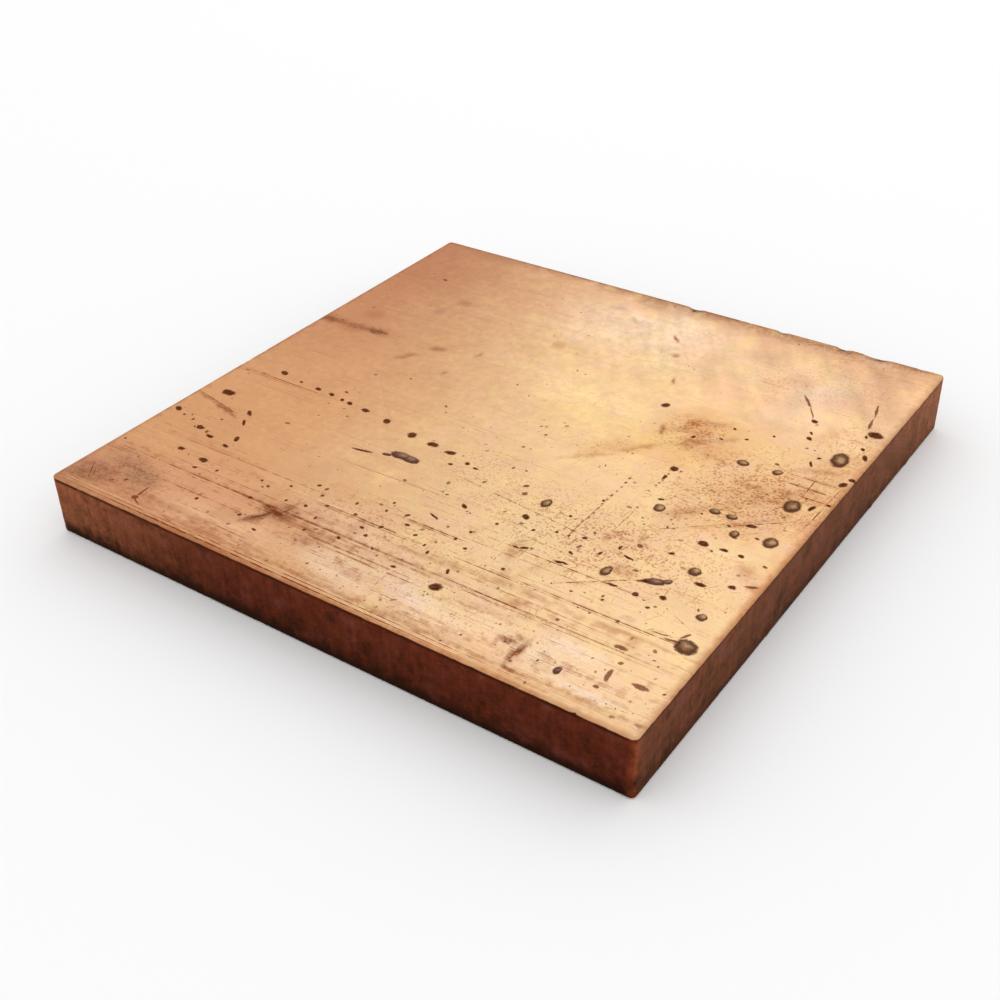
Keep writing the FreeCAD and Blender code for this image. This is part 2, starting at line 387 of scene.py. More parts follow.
# Stains with a clearer outline, made the same way; some of them are painted highlight and painted shade, as
# marked
STAINS_AND_LIGHT = (
    # the dark streak at the far left, with its smaller neighbours
    ("8a4c34", 0.55, -43, 11.8, 7.5, 1), ("6a3826", 0.85, -38, 12.1, 2.4, 0.95),
    ("74402c", 0.65, -48.3, 11.3, 2, 1.3), ("8c5236", 0.65, -25.2, 12.6, 1.8, 1.1, 20),
    ("a45432", 0.65, -28.2, 7.5, 2.6, 0.9, 50), ("925030", 0.7, -19.2, 6.5, 0.6, 1),
    ("925030", 0.55, -18, 14.5, 0.5, 1.1), ("94695a", 0.45, -31.3, 29, 1.7, 1.6),
    ("94695a", 0.4, -33.5, 24.2, 1.5, 1.4), ("a5693f", 0.4, -8.5, 25, 1.4, 1.7),
    ("f7d9c4", 0.6, -8, 29, 2, 1.8), ("8c8264", 0.5, -2.3, 40, 1.4, 0.7, -45),
    ("8c8264", 0.4, -6.7, 42.6, 1.4, 1.1), ("b06c4c", 0.4, -42.5, 17, 2.4, 1.7),
    # short runs on the far right
    ("8c4a28", 0.9, 7.2, 37.6, 1.5, 0.55, -50), ("8c4a28", 0.8, 10, 32.3, 1, 0.6),
    ("8c4a28", 0.9, 13.8, 24.6, 1.5, 0.45, -62), ("9c5222", 0.75, 19.7, 10.5, 1.9, 0.6, -70),
    # the smear in the middle and its tail
    ("a45c26", 0.6, 22.4, 13.6, 4.4, 1.3, 64), ("ac6426", 0.5, 25.2, 15.8, 3.8, 1.1, 30),
    ("9c5626", 0.6, 26.6, 10.8, 4.9, 0.9, 36), ("9c5626", 0.55, 25, 8.2, 3.4, 0.8, 20),
    ("a86030", 0.45, 24.4, 12.4, 3.2, 0.7, 10), ("a86030", 0.45, 29.6, 13.2, 2, 0.8, 40),
    ("b0702e", 0.6, 19.2, 3.8, 4.6, 0.6, 50), ("b4702e", 0.5, 13.5, -2.5, 4.6, 0.7, 42),
    ("8c4820", 0.55, 19.7, 10.3, 1.5, 0.45, -62), ("b4702e", 0.5, 30, 7.5, 3.4, 0.6, -6),
    # the rubbed brown patch by the right side
    ("9c5228", 0.35, 41.5, 2.2, 5.6, 1.5, 20), ("a86030", 0.3, 44.5, 5.5, 6, 1.2, 35),
    ("96501f", 0.5, 45, 7.4, 5, 0.35), ("a45e30", 0.35, 38, -2.2, 8.5, 1.1, 42),
    ("a45e30", 0.45, 41, -5.5, 7, 0.5, 42), ("ac6634", 0.45, 33, -7.5, 4.6, 0.9, 42),
    ("96501f", 0.45, 45.8, 9.8, 4.2, 0.35), ("a45e30", 0.45, 37.5, 3.6, 2.4, 1),
    ("ac6634", 0.3, 48.4, -1.5, 1, 3.4), ("a05a30", 0.45, 44.6, 12.4, 3.4, 0.8, 20),
    ("a05a3c", 0.7, 28.2, -16.4, 1.4, 0.4, 15), ("a05a3c", 0.7, 31.4, -16, 0.6, 1.5),
    ("a05a3c", 0.6, 27.3, -18.4, 0.5, 1.3, -15), ("ac6448", 0.5, 33, -23.6, 2.4, 1.6),
    ("a85c3c", 0.45, 46.4, -15.2, 1.6, 2.4, 20), ("b06a48", 0.5, 48.8, -17.5, 1, 1.4),
    ("a0603a", 0.5, 18.2, -27.5, 1.3, 3.4, 6), ("a8683c", 0.3, 22.5, -30.5, 1.2, 3, -20),
    ("a8683c", 0.5, 30, -28.5, 3.8, 0.4, 32), ("a85c3c", 0.5, 24.5, -37, 2, 1.2),
    ("b4754a", 0.4, 41, -35.5, 1.2, 1.6),
    # the star-shaped stain and its arms
    ("5a2c22", 0.9, -15.2, -38.8, 2.4, 1.2, -12), ("6a3a2a", 0.6, -14.5, -36.9, 2.3, 0.7, 62),
    ("6c3a26", 0.7, -17, -38.6, 2, 0.6, -10), ("6c3a26", 0.6, -13.4, -38.8, 2.4, 0.6),
    ("623228", 0.85, -16.8, -41.2, 3, 0.75, 56), ("94603f", 0.45, -14.2, -38.6, 4.4, 2.6),
    ("f2cc94", 0.55, -8.6, -23.4, 2.3, 3.4), ("e9b98c", 0.3, -20, -32, 6, 2),
    # grey bloom at the near left and round the star
    ("7a5c48", 0.45, -38, -43, 4.6, 2.6), ("8a563a", 0.5, -45.5, -46, 4.5, 2.6, 20),
    ("8a4c30", 0.85, -41.4, -21.9, 3.8, 0.5, -18), ("8a4c30", 0.75, -47.2, -20.4, 2.6, 0.45, -8),
    ("a06040", 0.35, -20, -43, 5, 2, 10), ("a5684a", 0.4, -46, -39, 5, 0.7),
    ("a5684a", 0.4, -30, -46, 8, 0.8),
    # the bracket-shaped smear near the edge
    ("7a3414", 1, 30.2, -45, 3.6, 0.62, 88), ("7a3414", 0.85, 27.9, -43.6, 1.6, 0.5, 4),
    ("7a3414", 0.85, 31, -48, 1.5, 0.5), ("8a4420", 0.8, 29.2, -42.2, 1, 0.7, 30),
    # brown bands along the lines of the rolling
    ("9c5428", 0.5, 2, -37.9, 48, 0.42), ("9c5428", 0.45, 16, -38.6, 34, 0.22),
    ("9c5428", 0.45, -6, -33.6, 7, 0.35), ("9c5428", 0.45, 35, -33, 15, 0.22),
    ("9c5428", 0.55, 5.5, -29.8, 5.5, 0.25), ("9c5428", 0.5, 0, -40.4, 12, 0.25),
    ("9c5428", 0.45, 0, -41.2, 12, 0.2), ("9c5428", 0.5, -20, -45.8, 5.5, 0.3),
    ("9c5428", 0.3, -43, -10.3, 8, 0.25), ("a05c34", 0.35, 0, -48.2, 50, 0.4),
    ("8c4a28", 0.3, -20, -46.9, 30, 0.3), ("9c5428", 0.25, 20, -45.6, 24, 0.25),
    ("a86640", 0.25, 18, -46.9, 12, 0.6), ("a86640", 0.3, 4, -43.8, 7, 0.9),
    ("a86640", 0.3, 22, -40.2, 6, 0.8), ("a86640", 0.2, -8, -36, 6, 1.2),
    ("a86640", 0.35, 40, -34.5, 6, 0.7), ("a86640", 0.3, 12, -34.8, 5, 0.8),
    ("a0603c", 0.45, 8, -35.6, 7, 0.5), ("a0603c", 0.4, -4, -39.4, 9, 0.5),
    ("a0603c", 0.4, 24, -34.4, 9, 0.5), ("98583a", 0.45, -7, -41.2, 3, 1.6, 20),
    ("a86a48", 0.35, -3, -35.2, 1.4, 3), ("a86640", 0.3, 44, -48, 6, 0.8),
    ("9c5834", 0.25, 14, -48.1, 30, 0.45), ("a86a48", 0.35, 20, -33, 1, 2.4, 10),
    # painted highlights: the pale dabs between the bands
    ("fbe4d0", 0.5, 36, -40.5, 5, 1.6), ("fbe4d0", 0.5, 14, -43.5, 6, 1.4),
    ("f6dabc", 0.5, 2, -45.5, 5, 0.9), ("fbe4d0", 0.6, 41, -46.6, 5, 0.8),
    # the worn rims of the face; the light orange strips along the near and right rims are partly worn metal
    # and partly painted highlight
    ("7a4a3a", 0.9, 0, 50.2, 52, 0.9), ("a8704e", 0.35, 24, 48.9, 30, 0.7),
    ("8a5640", 0.7, -50.2, 0, 0.7, 52), ("8e4c2e", 0.35, 50.2, -10, 0.9, 44),
    ("8a4426", 0.5, 0, -50.1, 60, 0.5), ("9c5226", 0.35, 4, -47.8, 48, 0.45),
    ("8a3c20", 0.6, -25, -49.5, 9, 0.25), ("d98a50", 0.4, 22, -50, 32, 0.8),
    ("d98a50", 0.35, 50, -15, 0.8, 36),
    # dark knocks on the far edge and at the near right corner: oxide with painted shade inside the knocks
    ("40302a", 0.95, 4.7, 49.2, 1.7, 0.9, -30), ("4c382c", 0.9, 21.5, 49.2, 1.4, 0.8, -20),
    ("40302a", 0.95, 32.7, 49.1, 1.6, 0.9, -30), ("4a362a", 0.95, 38.4, 49.2, 3.2, 0.8, -6),
    ("6e4c3a", 0.6, 45.5, 49, 2.5, 0.5), ("6e4c3a", 0.5, 12, 49.5, 4, 0.35),
    ("4a2a1c", 0.8, 49.2, -48, 0.7, 0.4, 30),
)
# Where the face is gritty with fine brown grains: how thickly, and the ellipse
GRITTY = (
    (0.95, 38, 2, 17, 15, 30), (0.85, 26, -20, 30, 13), (0.7, 24, 12, 8, 7), (0.5, 15, 2, 8, 3, 42),
    (0.55, 0, -33, 30, 8), (0.45, 10, -43, 45, 8), (0.5, -38, -43, 16, 8), (0.35, -42, -24, 10, 9),
    (0.4, 34, 36, 20, 14), (0.6, 46, 20, 7, 16), (0.4, -43, 12, 9, 3), (0.5, 5, -14, 14, 9),
)
# Scratches that can be told apart, and have tarnished
GROOVES = (
    (15, -18.7, 15.2, 0.09, -6.3), (18.5, -38.6, 2, 0.08), (6, -37.9, 3, 0.08),
    (32.2, -20.9, 0.9, 0.07, -20), (-45.8, -46, 2.8, 0.11, -55), (-45.2, -45.8, 1.6, 0.05, -55),
    (-35.2, -45, 1.2, 0.06, 90), (10, -42.5, 2.5, 0.05, 90), (7, -43.5, 1.6, 0.05, 90),
    (4, -33.4, 16, 0.11, 0.3), (-2, -33.9, 11, 0.05), (5.5, -29.8, 6.5, 0.12, 0.4),
    (34, -33, 15, 0.1, 0.2), (0, -40.4, 13, 0.06), (2, -41.2, 12, 0.09, 0.2), (-20, -45.8, 6, 0.07),
    (-14, -49.45, 36, 0.14), (-5, -48.8, 44, 0.08, 0.05), (-42, -10.3, 8, 0.05, 0.2),
    (8, -37.9, 42, 0.12), (18, -38.6, 31, 0.05, 0.1), (20, -44.6, 20, 0.05, 0.3),
    (28, -36, 14, 0.05, -0.3), (-28, -31.5, 18, 0.05, 0.2), (-30, -41.6, 17, 0.06, 0.1),
    (-22, -36.4, 20, 0.05, -0.2), (24, -24.6, 9, 0.05, -3), (43.2, -4.2, 6, 0.1, 40),
    (33, -12, 12, 0.06, 40), (-6, -22.8, 14, 0.05, 1.5), (20, -29, 17, 0.05, 0.5), (45, 7.4, 5.2, 0.13),
    (46, 5.2, 3.8, 0.1), (45.4, 9.8, 4.5, 0.1, 1), (48.9, 4, 6, 0.1, 88), (45.2, 7.5, 3, 0.1, 92),
    (44.5, 2, 5, 0.07, 55), (25.5, -27.2, 14, 0.1), (30.6, -27.8, 6.2, 0.1, 37),
    (5.5, -30.2, 5.6, 0.05, 0.4), (25, -33.4, 24, 0.09, 0.2), (22.4, -14, 9, 0.05, 89),
    (17, -31, 6, 0.05, 91), (19.5, -25, 5, 0.05, 88), (27, -14, 4, 0.05, 90),
    (-20, -38.1, 30, 0.11, 0.1), (-12, -39.4, 14, 0.06, -0.3), (-30, -48.6, 20, 0.1),
    (-2, -42.8, 12, 0.05, 0.4), (-38, -9.9, 12, 0.1, -0.5), (-44, -20.8, 5, 0.1, -12),
)
# Scratches that show fresh metal
GLEAMS = (
    (5, -49.3, 43, 0.06), (12, -21, 10, 0.05, 2),
)
# Rubbed patches of short parallel scratches: middle, half sizes, lean and how many
HATCHES = (
    (43, 3.5, 7, 7.5, 35, 40), (43.5, 7.5, 6.5, 4, 0, 22), (44, 4, 6, 8, 90, 26),
    (36, -4, 9, 4, 42, 16), (25, 12, 5.5, 5, 25, 14), (12, -28, 14, 8, -4, 20),
)


# How many loose marks there are of each kind, and how far from the middle they reach
ROLLING_LINES, STRAY_LINES, SPLASH_LINES, SPECKS = 520, 150, 420, 640
LOOSE_REACH = 49


def loose_scratches(draw):
    """Fine scratches from handling. Most run with the rolling, and most are towards the near edge."""
    lines = []
    for x, y, across, up, lean, count in HATCHES:
        for _ in range(count):
            place = (x + draw.uniform(-across, across), y + draw.uniform(-up, up))
            size = (draw.uniform(0.8, 3.4), draw.uniform(0.04, 0.08))
            lines.append(((*place, *size, lean + draw.gauss(0, 3)), "groove"))
    for _ in range(ROLLING_LINES):
        place = (draw.uniform(-LOOSE_REACH, LOOSE_REACH), 2 * LOOSE_REACH * draw.random() ** 2 - LOOSE_REACH)
        size = (1 + 12 * draw.random() ** 3, draw.uniform(0.025, 0.055))
        lines.append(((*place, *size, draw.gauss(0, 0.8)), draw.choice(("groove", "groove", "gleam"))))
    for _ in range(STRAY_LINES):
        place = (draw.uniform(-LOOSE_REACH, LOOSE_REACH), draw.uniform(-LOOSE_REACH, LOOSE_REACH))
        size = (0.5 + 6 * draw.random() ** 3, draw.uniform(0.02, 0.045))
        lines.append(((*place, *size, draw.gauss(0, 40)), draw.choice(("groove", "gleam"))))
    for _ in range(SPLASH_LINES):
        place = (draw.triangular(-6, LOOSE_REACH, 34), draw.triangular(-40, 12, -12))
        size = (0.3 + 2.6 * draw.random() ** 2, draw.uniform(0.03, 0.06))
        lines.append(((*place, *size, draw.choice((0, 35, 60, 90, -20)) + draw.gauss(0, 8)), "groove"))
    return lines


def loose_specks(draw):
    """Tiny pits and splashes, thickest towards the near right corner."""
    specks = [(x + draw.uniform(-0.15, 0.15), y, 0.3, 0.2, 90)
              for x, first, last, step in DOTTED_RUNS
              for y in np.arange(first, last, -step)]
    while len(specks) < SPECKS:
        x, y = draw.uniform(-LOOSE_REACH, LOOSE_REACH), draw.uniform(-LOOSE_REACH, LOOSE_REACH)
        if draw.random() < 0.12 + 0.5 * (x > -8) * (y < 4) + 0.3 * (y < -24):
            size = 0.07 + 0.2 * draw.random() ** 3
            specks.append((x, y, size * draw.uniform(1, 1.8), size, draw.uniform(-90, 90)))
    return specks


def ellipse_axes(place):
    """The two rows that turn a place (x, y, 1) into shares of the ellipse's half length and half width."""
    x, y, length, width, *lean = place
    turn = math.radians(lean[0]) if lean else 0.0
    along = np.array((math.cos(turn), math.sin(turn))) / length
    across = np.array((-math.sin(turn), math.cos(turn))) / width
    return [np.append(axis, -axis @ (x, y)) for axis in (along, across)]


def lay_marks(mesh, name, marks):
    """Writes on each face of the mesh the axes and the colour of the mark that is nearest to it."""
    middles = np.empty(3 * len(mesh.polygons))
    mesh.polygons.foreach_get("center", middles)
    middles = (middles.reshape(-1, 3) - FOOT) / MM
    upper = np.flatnonzero(middles[:, 2] > THICKNESS - 0.3)
    at = np.column_stack((middles[upper, :2], np.ones(len(upper))))
    along = np.tile((0.0, 0.0, UNMARKED), (len(middles), 1))
    across = along.copy()
    colours = np.zeros((len(middles), 4))
    nearest = np.full(len(upper), MARK_MARGIN)
    for place, colour, strength in marks:
        rows = ellipse_axes(place)
        u, v = at @ rows[0], at @ rows[1]
        reach = np.hypot(u, v)
        gap = (reach - 1) * reach / np.maximum(np.hypot(u / place[2], v / place[3]), 1e-9)
        closer = gap < nearest
        nearest[closer] = gap[closer]
        faces = upper[closer]
        along[faces], across[faces], colours[faces] = *rows, (*colour, strength)
    write(mesh, name + "_along", "FLOAT_VECTOR", "FACE", "vector", along)
    write(mesh, name + "_across", "FLOAT_VECTOR", "FACE", "vector", across)
    write(mesh, name + "_colour", "FLOAT_COLOR", "FACE", "color", colours)


def write(mesh, name, kind, domain, field, values):
    layer = mesh.attributes.new(name, kind, domain)
    layer.data.foreach_set(field, values.astype(np.float32).ravel())


# The noise vectors take the clock as their seed unless they are given one, and 0 is the clock too
RAGGED_SEED = 11


class UpperPaint:
    """Lays soft ragged dabs on the vertices of the upper face."""

    def __init__(self, mesh):
        noise.seed_set(RAGGED_SEED)
        self.mesh = mesh
        corners = np.empty(3 * len(mesh.vertices))
        mesh.vertices.foreach_get("co", corners)
        self.corners = (corners.reshape(-1, 3) - FOOT) / MM
        self.upper = np.flatnonzero(self.corners[:, 2] > THICKNESS - 0.5)

    def shaken(self, size, push):
        """The vertices' places, pushed about by noise of this size in millimetres."""
        moved = [noise.noise_vector(Vector(c) / size).to_2d() * push
                 + noise.noise_vector(Vector(c) / size * 3.1).to_2d() * push * 0.35
                 for c in self.corners[self.upper]]
        return np.column_stack((self.corners[self.upper, :2] + np.array(moved), np.ones(len(self.upper))))

    def share(self, at, place, strength, soft):
        """How much of a dab each vertex gets."""
        rows = ellipse_axes(place)
        reach = np.hypot(at @ rows[0], at @ rows[1])
        share = np.clip((DAB_REACH - reach) / (DAB_REACH * soft), 0, 1)
        return strength * share * share * (3 - 2 * share)

    def keep(self, name, kind, field, values):
        every = np.zeros((len(self.corners), values.shape[1]))
        every[self.upper] = values
        write(self.mesh, name, kind, "POINT", field, every)

    def lay_tarnish_and_light(self):
        """The clouds and the stains, each over the ones before it."""
        paint = np.zeros((len(self.upper), 4))
        for dabs, size, push, soft in ((CLOUDS, 7, 2.2, 1.0), (STAINS_AND_LIGHT, 1.7, 0.6, 0.75)):
            at = self.shaken(size, push)
            for tint, strength, *place in dabs:
                share = self.share(at, place, strength, soft)
                paint[:, :3] += (np.array(shade(tint)) - paint[:, :3]) * share[:, None]
                paint[:, 3] += (1 - paint[:, 3]) * share
        self.keep("tarnish", "FLOAT_COLOR", "color", paint)

    def lay_grit(self):
        at = self.shaken(5, 2.5)
        grit = np.zeros(len(self.upper))
        for strength, *place in GRITTY:
            grit = np.maximum(grit, self.share(at, place, strength, 1.0))
        self.keep("grit", "FLOAT", "value", grit[:, None])


def paint_upper_face(mesh, finish, seed):
    """Everything that is on the upper face only."""
    draw = random.Random(seed)
    paint = UpperPaint(mesh)
    paint.lay_tarnish_and_light()
    paint.lay_grit()
    drops = [(place, finish.drop_middle, 1.0) for place in DROPS]
    drops += [(place, finish.slate, 0.0) for place in SLATE_BLOTS]
    lay_marks(mesh, "drop", drops)
    marks = [(place, finish.speck, draw.uniform(0.4, 0.95)) for place in loose_specks(draw)]
    pits = [(*pit, draw.uniform(0.26, 0.44), draw.uniform(0.2, 0.3), draw.uniform(0, 180)) for pit in PITS]
    marks += [(pit, finish.spot, 0.95) for pit in pits]
    marks += [(place, finish.spot, 1.0) for place in SPOTS]
    marks += [(place, finish.rust, 0.85) for place in RUST_SPOTS]
    lay_marks(mesh, "spot", marks)
    lines = [(place, finish.groove, 0.9) for place in GROOVES]
    lines += [(place, finish.gleam, 0.9) for place in GLEAMS]
    lines += [(place, getattr(finish, metal), draw.uniform(0.12, 0.62))
              for place, metal in loose_scratches(draw)]
    lay_marks(mesh, "scratch", lines)


# ------------------------------------------------------------------ shader patterns


# Dark smudges on the sides: a place in millimetres from the middle of the foot, its reach and strength
SIDE_SMUDGES = (
    (50, -11.2, 4, 2.4, 0.7), (50, -32.6, 2.6, 2, 0.6), (50, -23, 5.6, 1.6, 0.5), (50, -3, 7, 1.8, 0.5),
    (50, 8, 2, 1.8, 0.6), (50, -42, 1.2, 2, 0.6), (50, 21, 1, 1.5, 0.6), (50, 30, 3, 2.4, 0.3),
    (-22, -50, 0.9, 2.8, 0.7), (-14, -50, 1.2, 2, 0.6), (-42, -50, 1, 2.4, 0.6),
    (-7, -50, 2.6, 1.3, 0.6), (2.5, -50, 2.2, 1.2, 0.6), (-36, -50, 8.4, 2, 0.35),
    (-30, -50, 9, 1.6, 0.45), (-19, -50, 8.8, 1.5, 0.4), (-6, -50, 8.6, 1.4, 0.35),
    (-43, -50, 8.2, 1.6, 0.3), (4, -50, 7, 1.2, 0.4), (34, -50, 6, 1, 0.35),
)


class Pattern:
    """Adds shader nodes to one material and joins them up. Lengths are millimetres."""

    def __init__(self, tree):
        self.tree = tree

    def add(self, kind, inputs, output=0, **settings):
        node = self.tree.nodes.new(kind)
        for name, value in settings.items():
            setattr(node, name, value)
        for key, value in inputs.items():
            self.feed(node.inputs[key], value)
        return node.outputs[output]

    def feed(self, socket, value):
        if isinstance(value, bpy.types.NodeSocket):
            self.tree.links.new(value, socket)
        elif socket.type == "RGBA":
            socket.default_value = (*value, 1)
        else:
            socket.default_value = value

    def math(self, operation, *values):
        return self.add("ShaderNodeMath", dict(enumerate(values)), operation=operation)

    def vector(self, operation, *values, output=0):
        return self.add("ShaderNodeVectorMath", dict(enumerate(values)), output, operation=operation)

    def fold(self, operation, first, *others):
        """Joins any number of values, two at a time."""
        for other in others:
            first = self.math(operation, first, other)
        return first

    def times(self, *values):
        return self.fold("MULTIPLY", *values)

    def plus(self, *values):
        return self.fold("ADD", *values)

    def most(self, *values):
        return self.fold("MAXIMUM", *values)

    def less(self, value, other):
        return self.math("SUBTRACT", value, other)

    def swing(self, value, by):
        """A pattern from 0 to 1, made to swing about 0."""
        return self.times(self.less(value, 0.5), by)

    def share(self, value, low, high, lowest=0.0, highest=1.0):
        """Runs smoothly from lowest to highest as the value goes from low to high."""
        return self.add("ShaderNodeMapRange", {0: value, 1: low, 2: high, 3: lowest, 4: highest},
                        interpolation_type="SMOOTHSTEP")

    def between(self, share, first, second):
        return self.add("ShaderNodeMix", {0: share, 2: first, 3: second})

    def lay(self, under, over, *shares):
        """One colour laid over another, as thickly as the shares say when multiplied together."""
        return self.add("ShaderNodeMix", {0: self.times(*shares), 6: under, 7: over}, 2, data_type="RGBA")

    def scaled(self, vector, factor):
        """A place made longer, or a colour made lighter, by a factor."""
        return self.add("ShaderNodeVectorMath", {0: vector, "Scale": factor}, operation="SCALE")

    def noise(self, at, size, detail=2.0, roughness=0.5, output=0):
        """Soft noise from 0 to 1, in clouds of about this size."""
        return self.add("ShaderNodeTexNoise", {"Vector": at, "Scale": 1 / size, "Detail": detail,
                                               "Roughness": roughness}, output)

    def grain(self, at, length, width, detail=1.0):
        """Noise drawn out along the rolling direction into streaks of this length and width."""
        return self.noise(self.vector("MULTIPLY", at, (1 / length, 1 / width, 1 / width)), 1, detail)

    def shaken(self, at, size, by):
        """The same places, pushed about by noise, so that outlines turn ragged."""
        push = self.vector("SUBTRACT", self.noise(at, size, 2, output=1), (0.5, 0.5, 0.5))
        return self.vector("MULTIPLY_ADD", push, (2 * by, 2 * by, 0), at)

    def attribute(self, name, output="Color"):
        return self.add("ShaderNodeAttribute", {}, output, attribute_name=name)

    def mark_reach(self, at, name):
        """For the nearest mark of this name: 0 in its middle, 1 on its outline, rising as the square."""
        u, v = (self.vector("DOT_PRODUCT", at, self.attribute(name + way, "Vector"), output="Value")
                for way in ("_along", "_across"))
        return self.math("MULTIPLY_ADD", u, u, self.times(v, v))


def copper_material(rolled, sawn):
    """One material for the whole blank: rolled above and below, sawn round the sides."""
    material = bpy.data.materials.new("worn_copper")
    material.use_nodes = True
    shader = material.node_tree.nodes["Principled BSDF"].inputs
    p = Pattern(material.node_tree)
    at = p.scaled(p.add("ShaderNodeTexCoord", {}, "Object"), 1 / MM)
    x, y, z = (p.add("ShaderNodeSeparateXYZ", {0: at}, i) for i in range(3))
    mottle = p.noise(at, 1.3, 3)

    colour, rough, metal, height = rolled_finish(p, at, x, y, z, mottle, rolled)
    side_colour, side_rough, side_height = sawn_finish(p, at, x, y, z, mottle, sawn)
    from_top = p.plus(z, p.swing(mottle, 0.25))
    side = p.times(p.share(from_top, THICKNESS - 0.22, THICKNESS - 0.38), p.share(z, 0.0, 0.06))
    p.feed(shader["Base Color"], p.lay(colour, side_colour, side))
    p.feed(shader["Roughness"], p.between(side, rough, side_rough))
    p.feed(shader["Metallic"], p.between(side, metal, 0.9))
    shader["Specular Tint"].default_value = (0.8, 0.62, 0.5, 1)
    relief = p.between(side, height, side_height)
    p.feed(shader["Normal"], p.add("ShaderNodeBump", {"Height": relief, "Distance": MM, "Strength": 1.0}))
    return material


def rolled_finish(p, at, x, y, z, mottle, finish):
    """Colour, roughness, metal and relief of the rolled faces."""
    fine = p.grain(at, 16, 0.16)
    cloud = p.noise(at, 24, 3)
    streak = p.grain(at, 22, 1.3, 3)
    grit = p.noise(at, 0.42, 2)
    gritty = p.attribute("grit", "Fac")
    # the duller left and the brighter middle and right: partly the metal's tone, partly a painted reflection
    # over the middle and right and painted shade over the left
    drift = p.plus(x, p.times(y, 0.25), p.times(cloud, 26), -13)
    dull = p.lay(finish.tan, finish.rose, p.share(p.plus(y, p.times(cloud, 30), -15), -25, 55))
    bright = p.share(drift, -42, 12)
    colour = p.lay(dull, finish.straw, bright)

    # the clouds and stains laid on the vertices, painted highlights and shade among them, broken up
    cover = p.attribute("tarnish", "Alpha")
    patchy = p.times(p.share(p.plus(p.times(mottle, 0.6), p.times(streak, 0.4)), 0.38, 0.6, 0.72, 1.15),
                     p.share(grit, 0.38, 0.62, 0.72, 1.2))
    patchy = p.math("MINIMUM", patchy, 1.0)
    bare = p.scaled(colour, p.less(1.0, p.times(cover, patchy)))
    colour = p.vector("ADD", bare, p.scaled(p.attribute("tarnish"), patchy))

    # patches, grains and lines, most of them near the middle of the right and along the near edge
    near = p.share(y, -20, -40)
    hue = p.noise(p.shaken(at, 8, 2.5), 5, 4, 0.6)
    colour = p.lay(colour, finish.blush, p.share(hue, 0.5, 0.66), bright, 0.42)
    colour = p.lay(colour, finish.gold, p.share(hue, 0.5, 0.36), bright, 0.4)
    blots = p.plus(p.times(streak, 0.55), p.times(mottle, 0.45))
    worn = p.most(p.times(gritty, 0.8), near)
    colour = p.lay(colour, finish.grit, p.share(blots, 0.52, 0.66), worn, 0.42)
    grains = p.share(p.plus(grit, p.times(mottle, 0.35)), 0.70, 0.82)
    colour = p.lay(colour, finish.grit, grains, gritty, 0.75)
    lines = p.times(p.share(fine, 0.58, 0.76), p.share(mottle, 0.4, 0.6, 0.25, 1.0))
    colour = p.lay(colour, finish.groove, lines, p.plus(p.times(near, 0.6), 0.1), 0.6)

    # lighter and darker shades
    far_right = p.times(p.share(y, 12, 30), p.share(x, -30, 5))
    puffs = p.noise(at, 6, 3)
    turned = p.add("ShaderNodeVectorRotate", {"Vector": at, "Angle": math.radians(58)},
                   rotation_type="Z_AXIS")
    slant = p.grain(turned, 12, 2.6, 3)
    shades = p.plus(p.swing(streak, p.share(worn, 0, 1, 0.10, 0.24)),
                    p.swing(slant, p.share(far_right, 0, 1, 0.04, 0.42)),
                    p.swing(puffs, p.share(far_right, 0, 1, 0.16, 0.45)),
                    p.swing(mottle, 0.34), p.swing(grit, 0.16),
                    p.times(p.share(blots, 0.47, 0.36), worn, 0.10), 1.0)
    colour = p.scaled(colour, shades)
    inside = p.math("MINIMUM", p.less(LENGTH / 2, p.math("ABSOLUTE", x)),
                    p.less(WIDTH / 2, p.math("ABSOLUTE", y)))
    rim = p.share(p.plus(inside, p.times(mottle, 1.8), -0.9), 1.3, 0.1, 0.0, 0.35)
    colour = p.lay(colour, finish.rim, rim)

    # the lower face, which has no marks of its own
    below = p.share(z, 1.0, 0.5)
    smears = p.plus(p.times(cloud, 0.45), p.times(hue, 0.35), p.times(mottle, 0.2))
    colour = p.lay(colour, finish.rose, p.share(smears, 0.49, 0.6), below, 0.6)
    dabs = p.share(p.plus(mottle, p.times(puffs, 0.5)), 0.91, 0.97)
    colour = p.lay(colour, finish.spot, dabs, below, 0.75)
    rubs = p.times(p.share(p.grain(turned, 11, 0.22), 0.6, 0.74), p.share(puffs, 0.42, 0.58))
    colour = p.lay(colour, finish.groove, rubs, below, 0.6)

    colour, scratch, spot, drop, ring = marked(p, at, mottle, grit, colour, finish)
    rough = p.plus(p.times(cover, 0.10), p.times(spot, 0.2), p.times(mottle, 0.14), p.times(gritty, 0.08),
                   finish.roughness - 0.07)
    metal = p.share(p.most(spot, ring), 0, 1, 1.0, 0.94)
    ridge = p.times(p.share(drop, 1.5, 1.0), p.share(drop, 0.3, 0.95, 0.4, 1.0))
    height = p.plus(p.times(fine, 0.003), p.times(mottle, 0.008), p.times(grit, 0.005), p.times(ridge, 0.04),
                    p.times(spot, -0.012), p.times(scratch, -0.006))
    return colour, rough, metal, height


